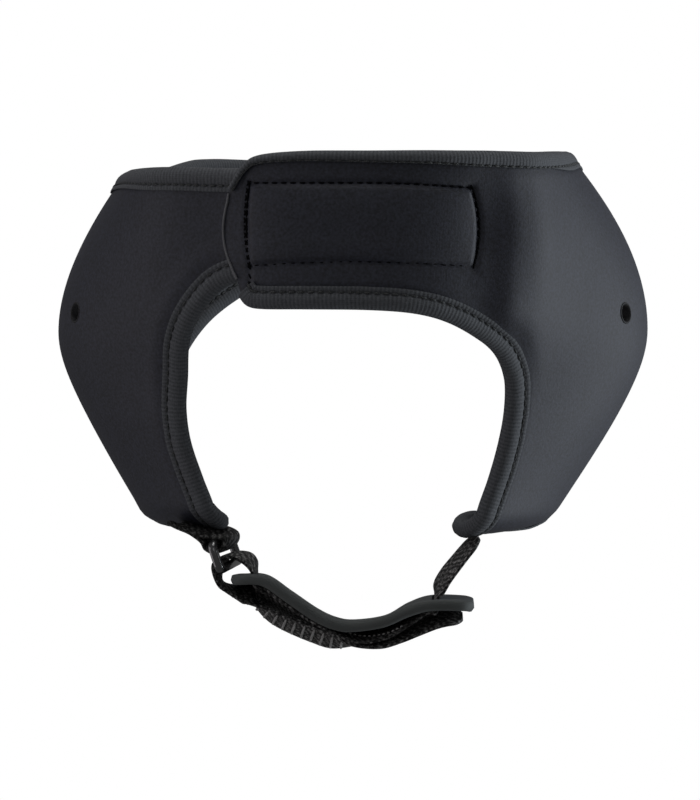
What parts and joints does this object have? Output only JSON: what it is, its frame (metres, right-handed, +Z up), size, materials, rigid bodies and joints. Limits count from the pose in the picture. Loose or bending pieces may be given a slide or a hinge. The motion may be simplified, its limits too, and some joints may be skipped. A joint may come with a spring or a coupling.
{
  "type": "ear guard",
  "caption": "Soft neoprene ear guard for mat sports: a headband with a lapped closure tab, flared ear covers with hearing holes, taped edges and an adjustable chin strap with a foam pad.",
  "frame": {"origin": "midway between the two ear covers, in the hollow where the head sits", "axes": "+X to the right ear cover as the tab side is seen, +Y away from the tab side, +Z up"},
  "size_m": [0.2049, 0.1922, 0.168],
  "materials": {
    "neoprene": "black jersey-faced neoprene, matt with a slight sheen",
    "edge_tape": "ribbed elastic tape, matt",
    "hook_tape": "matt hook tape",
    "webbing": "woven webbing, semi-matt",
    "buckle_plastic": "gloss black",
    "foam": "smooth grey foam, matt"
  },
  "bodies": {
    "root": {"body": "neoprene", "top_binding": "edge_tape", "lower_binding": "edge_tape", "hook_patch": "hook_tape", "left_anchor": "webbing", "buckle": "buckle_plastic", "chin_strap": "webbing", "chin_pad": "foam"}
  },
  "joints": []
}
